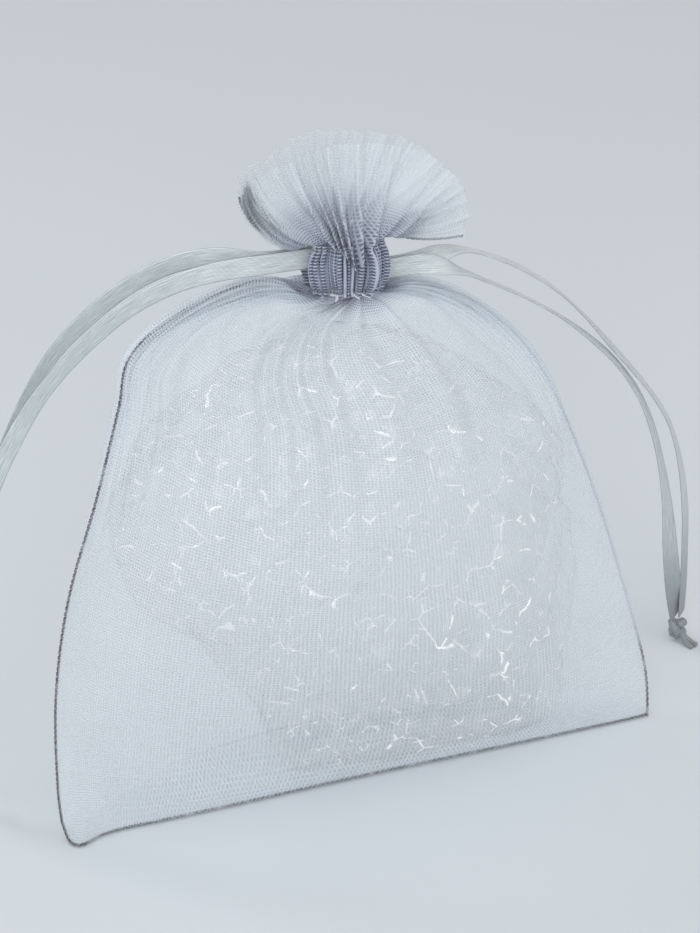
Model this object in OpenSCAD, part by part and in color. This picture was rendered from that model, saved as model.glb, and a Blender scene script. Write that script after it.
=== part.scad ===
// Organza drawstring gift pouch, drawn shut and standing on its base, with a clear film bag inside.
// Millimetres. X runs along the bottom seam, +Z is up, the front faces -Y.
// The origin is on the floor, under the middle of the pouch.

/* [Pouch] */
// Flat width of the pouch from side seam to side seam
pouch_w = 90; // [86:1:94]
// Height of the neck edge, where the gathered channel starts
neck_h = 74.7; // [70:0.1:78]
// Depth of the filled belly from front to back
belly_d = 36; // [32:1:40]
// Thickness given to each organza sheet
sheet_t = 0.8; // [0.6:0.1:1]

/* [Channel and ruffle] */
// Outer radius of the channel when it is drawn shut
channel_r = 5.5; // [5.3:0.1:6]
// Height of the drawstring channel
channel_h = 7.2; // [7:0.1:8]
// Wall thickness of the gathered channel
channel_t = 1.4; // [1.2:0.1:1.5]
// Length of the ruffle from the channel to its edge
ruffle_len = 13.5; // [10:0.5:15]
// Gap between what moves with the front of the mouth and what stays behind
mouth_gap = 0.6; // [0.4:0.1:0.8]
// Distance of the ruffle's rim from the middle of the fan at its two ends
rim_gap = 1; // [1:0.1:1.4]

/* [Ribbon] */
// Width of the satin ribbon
ribbon_w = 2.8; // [2.4:0.1:2.8]
// Thickness given to the ribbon
ribbon_t = 0.8; // [0.5:0.1:0.8]
// Radius of the knot that joins two ribbon ends
knot_r = 2.2; // [1.8:0.1:2.4]

/* [Thread] */
// Radius of the overlocked edge of the side and bottom seams
seam_r = 0.5; // [0.4:0.1:0.6]
// Radius of the two stitch rows of the channel
stitch_r = 0.25; // [0.2:0.05:0.3]

/* [Hidden] */

organza = "LightSteelBlue";
film = "AliceBlue";
satin = "Silver";
thread = "DimGray";

// Shape of the standing bag, one row for each level from the floor to the neck:
// [left seam z, middle z, right seam z, left seam x, left seam y, right seam x, right seam y, front y, back y].
// Widths are for a 90 mm pouch, depths for a 36 mm belly and heights for a 74.7 mm neck.
LEVELS = [
    [ 0.0,  0.0,  0.0, -45.5, -4.5, 45.0, -4.5,  -5.0, 13.0],
    [ 8.0,  8.0,  8.0, -46.0, -4.0, 45.5, -1.0, -10.5, 16.0],
    [22.0, 22.0, 22.0, -45.3, -3.0, 43.5,  5.0, -16.0, 18.0],
    [36.0, 36.0, 36.0, -42.5, -2.0, 39.5,  7.0, -18.0, 18.0],
    [50.0, 50.0, 49.0, -37.5, -1.0, 34.5,  8.0, -16.5, 16.5],
    [62.0, 60.0, 58.0, -33.6,  0.0, 29.5,  8.0, -13.5, 14.0],
    [69.0, 67.0, 65.0, -31.5,  0.5, 23.0,  6.5, -10.5, 11.0],
    [73.6, 71.5, 70.5, -24.5,  1.5, 15.5,  4.0,  -8.0,  8.5],
    [76.4, 73.7, 73.4, -14.5,  1.5,  9.0,  1.8,  -6.2,  6.4],
    [74.7, 74.7, 74.7,  -6.7,  0.0,  4.1,  0.0,  -5.4,  5.4]
];
top_level = len(LEVELS) - 1;
width_scale = pouch_w / 90;
depth_scale = belly_d / 36;
height_scale = neck_h / 74.7;

// The neck stands a little left of the middle of the base
neck_x = -1.3;
channel_z = neck_h + 0.3;
channel_top = channel_z + channel_h;
wall_in = channel_r - channel_t;

// Each ribbon has its own lane in the channel, the left one above the right one
left_lane_z = 79.7;
right_lane_z = 76.6;
lane_clear = 0.35;

// Ribbon strands: [x, y, z, roll], where roll turns the ribbon's width from upright (0) to front-to-back (90)
LEFT_FRONT_STRAND = [
    [ -4.9, -0.5, 79.7,   0], [ -9.5, -0.5, 79.7,   0], [-13.5, -0.5, 79.7,   0], [-18.0, -0.2, 79.6,  -1],
    [-22.5,  0.2, 79.0,   7], [-27.0,  0.8, 77.6,  12], [-31.5,  1.5, 75.2,  15], [-36.0,  2.6, 71.5,  17],
    [-40.0,  3.8, 67.3,  15], [-43.5,  5.0, 62.7,  13], [-46.5,  6.4, 57.2,   7], [-49.5,  7.8, 50.5,   4],
    [-52.5,  9.0, 42.0,   7], [-55.0, 10.0, 32.0,  13], [-56.5, 11.0, 22.0,  15], [-57.5, 11.5, 12.0,  17],
    [-58.0, 12.0,  4.0,  17]
];
LEFT_BACK_STRAND = [
    [ -4.9,  0.5, 79.7,   0], [ -9.5,  0.5, 79.7,   0], [-13.5,  0.6, 79.9,   0], [-18.0,  1.2, 80.9,   3],
    [-22.5,  2.0, 80.9,   8], [-27.0,  3.0, 79.5,  12], [-31.5,  4.2, 76.9,  15], [-36.0,  5.6, 73.0,  18],
    [-40.0,  7.0, 68.5,  27], [-43.5,  8.2, 63.0,  40], [-46.5,  9.2, 57.0,  51], [-49.5, 10.0, 50.0,  54],
    [-52.5, 11.0, 41.5,  49], [-55.0, 12.0, 31.5,  40], [-56.5, 12.5, 21.5,  32], [-57.5, 12.8, 12.0,  24],
    [-58.0, 13.0,  4.0,  18]
];
RIGHT_FRONT_STRAND = [
    [  2.3, -0.5, 76.6,   0], [  6.5, -0.5, 76.6,   0], [ 10.5, -0.7, 76.5,  20], [ 15.0, -1.4, 75.2,  80],
    [ 19.5, -0.8, 72.7,  89], [ 24.0,  0.4, 70.0,  88], [ 28.5,  1.4, 67.0,  86], [ 33.0,  2.4, 63.6,  82],
    [ 38.0,  4.0, 59.2,  77], [ 43.0,  6.0, 54.0,  72], [ 47.5,  8.0, 47.8,  65], [ 51.0, 10.0, 41.0,  57],
    [ 53.5, 11.5, 34.0,  49], [ 55.5, 12.8, 26.0,  34], [ 57.0, 14.0, 17.5,  13], [ 58.3, 15.0, 10.5,   6],
    [ 59.2, 15.8,  4.5,  39]
];
RIGHT_BACK_STRAND = [
    [  2.3,  0.5, 76.6,   0], [  6.5,  0.5, 76.6,   0], [ 10.5,  0.7, 76.8,  20], [ 16.0,  1.3, 77.2,  86],
    [ 22.0,  1.6, 74.9,  90], [ 27.0,  2.2, 71.9,  85], [ 32.0,  3.2, 67.9,  80], [ 37.0,  5.0, 62.8,  76],
    [ 41.5,  6.6, 57.6,  73], [ 46.0,  8.2, 52.4,  72], [ 50.5,  9.8, 46.8,  68], [ 54.5, 11.2, 40.5,  61],
    [ 57.5, 12.8, 32.5,  55], [ 59.5, 14.5, 24.0,  49], [ 60.3, 15.5, 16.5,  44], [ 60.6, 16.0, 10.5,  41],
    [ 60.7, 16.4,  4.5,  45]
];
LEFT_KNOT_AT = [-58.0, 12.5, 2.2];
RIGHT_KNOT_AT = [60.2, 16.2, 2.2];

panel_cols = 22;
panel_rows = 14;
film_cols = 20;
film_rows = 10;
ruffle_cols = 18;
ruffle_rows = 3;
rim_bow = [2.4, 3.4];  // how much further the rim's front and back stand from the middle of the fan
seam_edge = 0.012;   // share of the width that each panel stops short of the seam line
base_edge_y = -3.4;  // front edge of the base, behind the front panel's lower edge

function unit(v) = v / norm(v);
function mix(a, b, t) = a + (b - a) * t;

// One row of LEVELS at a level that may lie between two rows, on a smooth curve through them
function level(i) = let(
        k = min(floor(i), top_level - 1),
        t = i - k,
        p0 = LEVELS[max(k - 1, 0)], p1 = LEVELS[k], p2 = LEVELS[k + 1], p3 = LEVELS[min(k + 2, top_level)]
    )
    0.5 * (2 * p1 + (p2 - p0) * t + (2 * p0 - 5 * p1 + 4 * p2 - p3) * t * t
        + (3 * p1 - p0 - 3 * p2 + p3) * t * t * t);

// A point of the bag's outside: i is the level, u runs from the left seam (0) to the right seam (1),
// and side is -1 for the front and 1 for the back
function skin(i, u, side) = let(
        l = level(i),
        c = cos(180 * u),
        middle_x = (l[3] + l[5]) / 2,
        middle_y = (l[4] + l[6]) / 2,
        reach = (side < 0 ? l[7] : l[8]) - middle_y,
        z = l[1] + (c > 0 ? l[0] - l[1] : l[2] - l[1]) * pow(c, 4)
    )
    [
        (middle_x - (l[5] - l[3]) / 2 * c) * width_scale,
        (mix(l[4], l[6], u) + reach * sin(180 * u)) * depth_scale,
        z * height_scale
    ];

// Outward direction of the skin
function skin_normal(i, u, side) = let(
        d = 0.004,
        across = skin(i, u + d, side) - skin(i, u - d, side),
        upward = skin(min(i + d, top_level), u, side) - skin(max(i - d, 0), u, side)
    )
    -side * unit(cross(across, upward));

function under_skin(i, u, side, depth) = skin(i, u, side) - depth * skin_normal(i, u, side);

// Two triangles for each cell of a grid of points that is cols wide
function grid_faces(rows, cols, first, flip) = [
    for (r = [0 : rows - 2], c = [0 : cols - 2])
        let(
            a = first + r * cols + c, b = a + 1,
            d = a + cols, e = d + 1
        )
        each flip ? [[a, e, b], [a, d, e]] : [[a, b, e], [a, e, d]]
];

// Two triangles for each step of a strip between two rows of point numbers
function strip_faces(p, q) = [
    for (k = [0 : len(p) - 2])
        each [[p[k], q[k], q[k + 1]], [p[k], q[k + 1], p[k + 1]]]
];

// Closed sheet between an outer and an inner grid of points
module sheet(outer, inner) {
    rows = len(outer);
    cols = len(outer[0]);
    n = rows * cols;
    bottom = [for (c = [0 : cols - 1]) c];
    top = [for (c = [0 : cols - 1]) (rows - 1) * cols + c];
    left = [for (r = [0 : rows - 1]) r * cols];
    right = [for (r = [0 : rows - 1]) r * cols + cols - 1];
    polyhedron(
        points = concat([for (row = outer) each row], [for (row = inner) each row]),
        faces = concat(
            grid_faces(rows, cols, 0, true),
            grid_faces(rows, cols, n, false),
            strip_faces([for (k = bottom) k + n], bottom),
            strip_faces(top, [for (k = top) k + n]),
            strip_faces(left, [for (k = left) k + n]),
            strip_faces([for (k = right) k + n], right)
        ),
        convexity = 6
    );
}

// Closed tube through rings of points, with a fan at each end
module tube(rings) {
    n = len(rings);
    sides = len(rings[0]);
    polyhedron(
        points = [for (ring = rings) each ring],
        faces = concat(
            [for (r = [0 : n - 2], k = [0 : sides - 1])
                let(a = r * sides + k, b = r * sides + (k + 1) % sides)
                each [[a, b + sides, b], [a, a + sides, b + sides]]],
            [[for (k = [0 : sides - 1]) k]],
            [[for (k = [sides - 1 : -1 : 0]) (n - 1) * sides + k]]
        ),
        convexity = 8
    );
}

function tangent(path, k) = unit(path[min(k + 1, len(path) - 1)] - path[max(k - 1, 0)]);

// Flat tube along a route of [x, y, z, roll]
module ribbon(route) {
    path = [for (p = route) [p[0], p[1], p[2]]];
    tube([for (k = [0 : len(path) - 1])
        let(
            t = tangent(path, k),
            upright = unit(cross(t, [0, 1, 0])),
            level = cross(upright, t),
            wide = upright * cos(route[k][3]) + level * sin(route[k][3]),
            thin = cross(t, wide)
        )
        [for (a = [22.5 : 45 : 337.5])
            path[k] + wide * ribbon_w / 2 * cos(a) + thin * ribbon_t / 2 * sin(a)]
    ]);
}

// Round tube through the points of a path
module round_tube(path, r) {
    tube([for (k = [0 : len(path) - 1])
        let(t = tangent(path, k), n1 = unit(cross(t, [0, 1, 0])), n2 = cross(t, n1))
        [for (a = [0 : 60 : 300]) path[k] + r * (n1 * cos(a) + n2 * sin(a))]
    ]);
}

// Shares of the width at which a panel has its columns of points
panel_u = [for (c = [0 : panel_cols]) mix(seam_edge, 1 - seam_edge, c / panel_cols)];

// Shares of the width at which each half of the ruffle has its columns of points
ruffle_u = [for (c = [0 : ruffle_cols]) mix(0.022, 0.978, c / ruffle_cols)];

module front_panel() color(organza)
    sheet(
        [for (r = [0 : panel_rows]) let(i = top_level * r / panel_rows)
            [for (u = panel_u) skin(i, u, -1)]],
        [for (r = [0 : panel_rows]) let(i = top_level * r / panel_rows)
            [for (u = panel_u) let(p = under_skin(i, u, -1, sheet_t)) [p[0], p[1], r == 0 ? 0 : p[2]]]]
    );

// The back panel turns forward under the pouch and forms the base it stands on
module back_panel() color(organza)
    mirror([0, 1, 0]) sheet(
        concat(
            [[for (u = panel_u) let(p = skin(0, u, 1)) [p[0] * 0.97, -base_edge_y, 0]]],
            [for (r = [0 : panel_rows]) let(i = top_level * r / panel_rows)
                [for (u = panel_u) let(p = skin(i, u, 1)) [p[0], -max(p[1], base_edge_y + 0.5), p[2]]]]
        ),
        concat(
            [[for (u = panel_u) let(p = skin(0, u, 1)) [p[0] * 0.97, -base_edge_y, sheet_t]]],
            [for (r = [0 : panel_rows]) let(i = top_level * r / panel_rows)
                [for (u = panel_u) let(p = under_skin(i, u, 1, sheet_t))
                    [p[0], -max(p[1], base_edge_y + 0.1), max(p[2], sheet_t)]]]
        )
    );

// Overlocked edge of a side seam, from the corner up to just below the channel
module side_seam(u) color(thread)
    round_tube(
        [for (r = [0 : panel_rows]) let(p = skin((top_level - 0.5) * r / panel_rows, u, -1))
            [p[0], p[1], max(p[2], seam_r + 0.2)]],
        seam_r
    );

module left_side_seam() side_seam(0);
module right_side_seam() side_seam(1);

module bottom_seam() color(thread)
    translate([skin(0, 0, -1)[0], skin(0, 0.5, -1)[1], seam_r])
        rotate([0, 90, 0])
            cylinder(h = skin(0, 1, -1)[0] - skin(0, 0, -1)[0], r = seam_r, $fn = 24);

// Half of the gathered channel: side is -1 for the front and 1 for the back
module channel_half(side) color(organza)
    translate([neck_x, 0, 0])
        difference() {
            translate([0, 0, channel_z])
                rotate([0, 0, side > 0 ? 0 : 180])
                    rotate_extrude(angle = 180, $fn = 96)
                        translate([wall_in, 0]) square([channel_t, channel_h]);
            translate([-channel_r - 1, -mouth_gap / 2, channel_z - 1])
                cube([2 * channel_r + 2, mouth_gap, channel_h + 2]);
            translate([-channel_r - 1, 0, left_lane_z]) lane_slot();
            translate([channel_r + 1, 0, right_lane_z]) lane_slot();
        }

// Slit in the side of the channel that the two strands of a ribbon leave through
module lane_slot()
    cube([2 * channel_r, ribbon_w, ribbon_w + 2 * lane_clear], center = true);

module front_channel() channel_half(-1);
module back_channel() channel_half(1);

// Half of a row of stitches round the channel
module stitch_row(side, z) color(thread)
    translate([neck_x, 0, z])
        rotate([0, 0, side > 0 ? 18 : 198])
            rotate_extrude(angle = 144, $fn = 96)
                translate([channel_r, 0]) circle(r = stitch_r, $fn = 16);

module front_upper_stitching() stitch_row(-1, channel_top - 0.8);
module front_lower_stitching() stitch_row(-1, channel_z + 0.8);
module back_upper_stitching() stitch_row(1, channel_top - 0.8);
module back_lower_stitching() stitch_row(1, channel_z + 0.8);

// Direction of the ruffle in the plane of its fan: up and to the left at the left seam, nearly level at the right
function fan_angle(u) = 144 - 55 * u - 101 * u * u;

// A point of the ruffle: u runs from the left seam to the right one, s from the channel to the rim
function ruffle_point(u, s, side, inset) = let(
        sweep = sin(180 * u),
        r = channel_r - inset,
        rim_y = rim_gap + rim_bow[side < 0 ? 0 : 1] * sweep
    )
    [
        neck_x - r * cos(180 * u) + s * ruffle_len * cos(fan_angle(u)),
        side * mix(r * sweep, rim_y, s),
        channel_top + s * ruffle_len * sin(fan_angle(u))
    ];

// Half of the ruffle: its front or its back
module ruffle_half(side) color(organza) {
    outer = [for (r = [0 : ruffle_rows])
        [for (u = ruffle_u) ruffle_point(u, r / ruffle_rows, side, 0)]];
    inner = [for (r = [0 : ruffle_rows]) let(s = r / ruffle_rows)
        [for (u = ruffle_u) ruffle_point(u, s, side, sheet_t * (1 - s)) - [0, side * sheet_t * s, 0]]];
    if (side < 0)
        sheet(outer, inner);
    else
        sheet(inner, outer);
}

module front_ruffle() ruffle_half(-1);
module back_ruffle() ruffle_half(1);

// Overlocked edge where the side seam runs on through the ruffle, on the back half
module ruffle_seam(u) color(thread)
    round_tube([for (s = [0.05, 0.35, 0.65, 0.97]) ruffle_point(u, s, 1, 0)], seam_r * 0.7);

module left_ruffle_seam() ruffle_seam(0.03);
module right_ruffle_seam() ruffle_seam(0.97);

// Clear film bag inside the pouch: the skin drawn in towards its own axis and closed at both ends
module film_bag() color(film)
    tube([for (r = [0 : film_rows])
        let(
            i = mix(0.35, 6.6, r / film_rows),
            l = level(i),
            axis = [(l[3] + l[5]) / 2 * width_scale, (l[7] + l[8]) / 2 * depth_scale, l[1] * height_scale],
            swell = 0.2 + 0.6 * pow(sin(180 * mix(0.04, 0.96, r / film_rows)), 0.35)
        )
        [for (c = [0 : film_cols - 1])
            let(
                turn = 2 * c / film_cols,
                p = turn < 1 ? skin(i, turn, -1) : skin(i, 2 - turn, 1)
            )
            [mix(axis[0], p[0], swell), mix(axis[1], p[1], swell), axis[2]]]
    ]);

// Part of a ribbon that lies round the inside of the channel; open is where its two strands leave
module ribbon_loop(open, z) color(satin)
    translate([neck_x, 0, z - ribbon_w / 2])
        rotate([0, 0, open + 28])
            rotate_extrude(angle = 304, $fn = 96)
                translate([wall_in - 0.7, 0]) square([0.4, ribbon_w]);

module left_ribbon_loop() ribbon_loop(180, left_lane_z);
module right_ribbon_loop() ribbon_loop(0, right_lane_z);

module left_front_strand() color(satin) ribbon(LEFT_FRONT_STRAND);
module left_back_strand() color(satin) ribbon(LEFT_BACK_STRAND);
module right_front_strand() color(satin) ribbon(RIGHT_FRONT_STRAND);
module right_back_strand() color(satin) ribbon(RIGHT_BACK_STRAND);

// Overhand knot with the two cut ribbon ends beside it
module knot(at) color(satin)
    translate(at) {
        sphere(r = knot_r, $fn = 48);
        translate([0.6, -1.6, 0.4 - knot_r]) rotate([0, 0, -70]) cube([5.5, ribbon_w, ribbon_t]);
    }

module left_knot() knot(LEFT_KNOT_AT);
module right_knot() knot(RIGHT_KNOT_AT);

front_panel();
back_panel();
left_side_seam();
right_side_seam();
bottom_seam();
front_channel();
back_channel();
front_upper_stitching();
front_lower_stitching();
back_upper_stitching();
back_lower_stitching();
front_ruffle();
back_ruffle();
left_ruffle_seam();
right_ruffle_seam();
film_bag();
left_ribbon_loop();
left_front_strand();
left_back_strand();
left_knot();
right_ribbon_loop();
right_front_strand();
right_back_strand();
right_knot();
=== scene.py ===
import math

import bmesh
import bpy
import numpy as np
from mathutils import Matrix, Vector


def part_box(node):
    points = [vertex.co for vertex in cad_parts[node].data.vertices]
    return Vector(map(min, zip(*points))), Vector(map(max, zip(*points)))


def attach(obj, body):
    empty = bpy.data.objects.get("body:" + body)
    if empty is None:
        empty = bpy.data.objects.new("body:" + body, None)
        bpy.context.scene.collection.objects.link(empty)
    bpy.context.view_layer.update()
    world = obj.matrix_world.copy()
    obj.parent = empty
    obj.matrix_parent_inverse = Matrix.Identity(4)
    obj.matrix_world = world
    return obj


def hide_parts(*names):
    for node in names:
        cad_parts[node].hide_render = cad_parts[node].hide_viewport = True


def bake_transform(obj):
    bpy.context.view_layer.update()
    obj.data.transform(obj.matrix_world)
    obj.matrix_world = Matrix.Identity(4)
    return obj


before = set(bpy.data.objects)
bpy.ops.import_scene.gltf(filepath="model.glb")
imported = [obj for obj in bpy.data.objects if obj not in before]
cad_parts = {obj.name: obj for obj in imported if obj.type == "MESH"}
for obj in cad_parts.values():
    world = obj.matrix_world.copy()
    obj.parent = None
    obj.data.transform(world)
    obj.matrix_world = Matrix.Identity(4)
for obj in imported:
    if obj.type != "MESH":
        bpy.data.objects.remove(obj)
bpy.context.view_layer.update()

# Shapes are worked out in millimetres and stored in metres
MM = 0.001

# ---------------------------------------------------------------------------
# The pouch as the frame has it
# ---------------------------------------------------------------------------


def node_box(*nodes):
    """Lowest and highest corner of some CAD nodes together, in millimetres."""
    boxes = [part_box(node) for node in nodes]
    low = np.min([np.array(low) for low, high in boxes], axis=0) / MM
    high = np.max([np.array(high) for low, high in boxes], axis=0) / MM
    return low, high


channel_low, channel_high = node_box("front_channel", "back_channel")

NECK_X = (channel_low[0] + channel_high[0]) / 2
CHANNEL_R = (channel_high[0] - channel_low[0]) / 2
CHANNEL_Z = channel_low[2]
CHANNEL_H = channel_high[2] - channel_low[2]
CHANNEL_TOP = channel_high[2]

# The cloth as it was cut: its width, and its length in the bag, the channel and the ruffle
CLOTH_W = 90.0
BAG_L = 97.0
RUFFLE_L = 13.5
PLEATS = 14  # pleats that each half of the neck is gathered into
HEM_GAP = 0.32  # between the two layers of the hem that forms the channel and the ruffle
HEM_SLIP = 0.21  # how far the two layers' threads are out of step
SLIT = 0.26  # angle at each side of the channel that is left open for the ribbons, in radians
SEEN_W = 16.0  # width of the threads still seen side by side where the cloth is gathered

RIBBON_W = 2.8
RIBBON_T = 0.28
THREAD_R = 0.075

# ---------------------------------------------------------------------------
# Small tools
# ---------------------------------------------------------------------------


def mix(a, b, t):
    return a + (b - a) * t


def smooth(x, low=0.0, high=1.0):
    """0 below low, 1 above high, and a smooth step between them."""
    t = np.clip((x - low) / (high - low), 0.0, 1.0)
    return t * t * (3 - 2 * t)


def bump(x, middle, width):
    return np.exp(-(((x - middle) / width) ** 2))


def unit(v):
    return v / np.maximum(np.linalg.norm(v, axis=-1, keepdims=True), 1e-9)


def lattice(cells, seed):
    """A fixed pseudo-random number from -1 to 1 for each whole-numbered cell."""
    h = np.full(cells.shape[:-1], seed * 7919 + 13, dtype=np.int64)
    for axis, prime in zip(range(cells.shape[-1]), (374761393, 668265263, 1274126177)):
        h = (h ^ (cells[..., axis] * prime)) & 0xFFFFFFFF
        h = ((h ^ (h >> 15)) * 2246822519) & 0xFFFFFFFF
    return ((h ^ (h >> 13)) & 0xFFFF) / 32767.5 - 1.0


def noise(points, seed):
    """Smooth noise from -1 to 1, with a cell of 1, at points of one to three dimensions."""
    points = np.asarray(points, dtype=float)
    base = np.floor(points).astype(np.int64)
    t = points - base
    t = t * t * (3 - 2 * t)
    total = 0.0
    for corner in range(2 ** points.shape[-1]):
        step = np.array([(corner >> axis) & 1 for axis in range(points.shape[-1])])
        share = np.prod(np.where(step == 1, t, 1 - t), axis=-1)
        total = total + share * lattice(base + step, seed)
    return total


def through(rows, x):
    """Smooth curve through rows, which are evenly spaced from 0, at the places x."""
    rows = np.asarray(rows, dtype=float)
    last = len(rows) - 1
    x = np.clip(np.asarray(x, dtype=float), 0.0, last - 1e-9)
    k = np.floor(x).astype(int)
    t = (x - k)[..., None]
    p0, p1 = rows[np.maximum(k - 1, 0)], rows[k]
    p2, p3 = rows[k + 1], rows[np.minimum(k + 2, last)]
    return 0.5 * (
        2 * p1
        + (p2 - p0) * t
        + (2 * p0 - 5 * p1 + 4 * p2 - p3) * t**2
        + (3 * p1 - p0 - 3 * p2 + p3) * t**3
    )


def make_mesh(name, points, faces, uv=None):
    """A smooth mesh piece from points in millimetres; uv has one pair for each point."""
    mesh = bpy.data.meshes.new(name)
    mesh.from_pydata((np.asarray(points) * MM).tolist(), [], np.asarray(faces).tolist())
    if uv is not None:
        layer = mesh.uv_layers.new(name="cloth")
        corners = np.empty(len(mesh.loops), dtype=np.int32)
        mesh.loops.foreach_get("vertex_index", corners)
        layer.data.foreach_set("uv", np.asarray(uv, dtype=np.float32)[corners].ravel())
    mesh.shade_smooth()
    piece = bpy.data.objects.new(name, mesh)
    bpy.context.scene.collection.objects.link(piece)
    return piece


def grid_faces(rows, cols, closed=False):
    """Four-sided faces of a grid of points; a closed grid joins its last column to its first."""
    index = np.arange(rows * cols).reshape(rows, cols)
    if closed:
        index = np.hstack([index, index[:, :1]])
    a, b = index[:-1, :-1], index[:-1, 1:]
    d, c = index[1:, :-1], index[1:, 1:]
    return np.stack([a, b, c, d], axis=-1).reshape(-1, 4)


def grid_piece(name, grid, uv=None, closed=False, flip=False):
    rows, cols = grid.shape[:2]
    faces = grid_faces(rows, cols, closed)
    if flip:
        faces = faces[:, ::-1]
    return make_mesh(name, grid.reshape(-1, 3), faces, None if uv is None else uv.reshape(-1, 2))


def path_frames(path, side_hint=(0.0, 1.0, 0.0)):
    """Tangent and two side directions along a path."""
    tangent = unit(np.gradient(path, axis=0))
    first = unit(np.cross(tangent, np.array(side_hint)))
    second = np.cross(tangent, first)
    return tangent, first, second


def tube_grid(path, radius, sides=6, side_hint=(0.0, 1.0, 0.0)):
    """Rings of points round a path."""
    tangent, first, second = path_frames(path, side_hint)
    turn = np.linspace(0, 2 * math.pi, sides, endpoint=False)
    radius = np.broadcast_to(np.asarray(radius, dtype=float), (len(path),))[:, None, None]
    ring = first[:, None] * np.cos(turn)[:, None] + second[:, None] * np.sin(turn)[:, None]
    return path[:, None] + radius * ring


def capped_tube(grid, offset):
    """Points and faces of a closed tube whose point numbers start at offset."""
    rows, sides = grid.shape[:2]
    points = grid.reshape(-1, 3)
    faces = (grid_faces(rows, sides, True) + offset).tolist()
    faces.append([offset + k for k in range(sides)][::-1])
    faces.append([offset + (rows - 1) * sides + k for k in range(sides)])
    return points, faces


def tubes_piece(name, tubes):
    """One piece made of several closed tubes, each a (path, radius, sides) triple."""
    points, faces, offset = [], [], 0
    for path, radius, sides in tubes:
        tube_points, tube_faces = capped_tube(tube_grid(path, radius, sides), offset)
        points.append(tube_points)
        faces.extend(tube_faces)
        offset += len(tube_points)
    mesh = bpy.data.meshes.new(name)
    mesh.from_pydata((np.vstack(points) * MM).tolist(), [], faces)
    mesh.shade_smooth()
    piece = bpy.data.objects.new(name, mesh)
    bpy.context.scene.collection.objects.link(piece)
    return piece


def resample(path, step):
    """The same path with points a step apart."""
    lengths = np.r_[0, np.cumsum(np.linalg.norm(np.diff(path, axis=0), axis=1))]
    places = np.linspace(0, lengths[-1], max(int(lengths[-1] / step), 2) + 1)
    return np.stack([np.interp(places, lengths, path[:, k]) for k in range(3)], axis=1)


def wound(path, radius, pitch, start=0.0, step=0.11):
    """A thread wound round a path."""
    core = resample(path, step)
    lengths = np.r_[0, np.cumsum(np.linalg.norm(np.diff(core, axis=0), axis=1))]
    tangent, first, second = path_frames(core)
    turn = (2 * math.pi * (lengths / pitch + start))[:, None]
    return core + radius * (first * np.cos(turn) + second * np.sin(turn))


# ---------------------------------------------------------------------------
# Camera
# ---------------------------------------------------------------------------

VIEW_TURN, VIEW_LIFT, VIEW_ROLL = -20.5, 25.0, -0.7  # degrees
VIEW_DISTANCE = 388.0
VIEW_TARGET = (-0.8, 0.0, 47.9)
LENS = 107.8


def make_camera():
    turn, lift, roll = (math.radians(a) for a in (VIEW_TURN, VIEW_LIFT, VIEW_ROLL))
    back = Vector((
        math.sin(turn) * math.cos(lift),
        -math.cos(turn) * math.cos(lift),
        math.sin(lift),
    ))
    level = Vector((math.cos(turn), math.sin(turn), 0.0))
    above = back.cross(level)
    right = level * math.cos(roll) + above * math.sin(roll)
    up = above * math.cos(roll) - level * math.sin(roll)
    place = (Vector(VIEW_TARGET) + back * VIEW_DISTANCE) * MM
    data = bpy.data.cameras.new("camera")
    data.lens = LENS
    data.sensor_width = 36.0
    data.clip_start = 0.01
    camera = bpy.data.objects.new("camera", data)
    camera.matrix_world = Matrix.Translation(place) @ Matrix((right, up, back)).transposed().to_4x4()
    bpy.context.scene.collection.objects.link(camera)
    bpy.context.scene.camera = camera


make_camera()

# ---------------------------------------------------------------------------
# Ribbons: four strands, each tied to its neighbour in a knot
# ---------------------------------------------------------------------------

# [x, y, z, roll], where roll turns the ribbon's width from upright (0) to front-to-back (90)
LEFT_FRONT_STRAND = [
    [-4.9, -0.5, 79.7, 0], [-9.5, -0.5, 79.7, 0], [-13.5, -0.5, 79.7, 0], [-18.0, -0.2, 79.6, -1],
    [-22.5, 0.2, 79.0, 7], [-27.0, 0.8, 77.6, 12], [-31.5, 1.5, 75.2, 15], [-36.0, 2.6, 71.5, 17],
    [-40.0, 3.8, 67.3, 15], [-43.5, 5.0, 62.7, 13], [-46.5, 6.4, 57.2, 7], [-49.5, 7.8, 50.5, 4],
    [-52.5, 9.0, 42.0, 7], [-55.0, 10.0, 32.0, 13], [-56.5, 11.0, 22.0, 15], [-57.5, 11.5, 12.0, 17],
    [-58.0, 12.0, 4.0, 17],
]
LEFT_BACK_STRAND = [
    [-4.9, 0.5, 79.7, 0], [-9.5, 0.5, 79.7, 0], [-13.5, 0.6, 79.9, 0], [-18.0, 1.2, 80.9, 3],
    [-22.5, 2.0, 80.9, 8], [-27.0, 3.0, 79.5, 12], [-31.5, 4.2, 76.9, 15], [-36.0, 5.6, 73.0, 18],
    [-40.0, 7.0, 68.5, 27], [-43.5, 8.2, 63.0, 40], [-46.5, 9.2, 57.0, 51], [-49.5, 10.0, 50.0, 54],
    [-52.5, 11.0, 41.5, 49], [-55.0, 12.0, 31.5, 40], [-56.5, 12.5, 21.5, 32], [-57.5, 12.8, 12.0, 24],
    [-58.0, 13.0, 4.0, 18],
]
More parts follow.
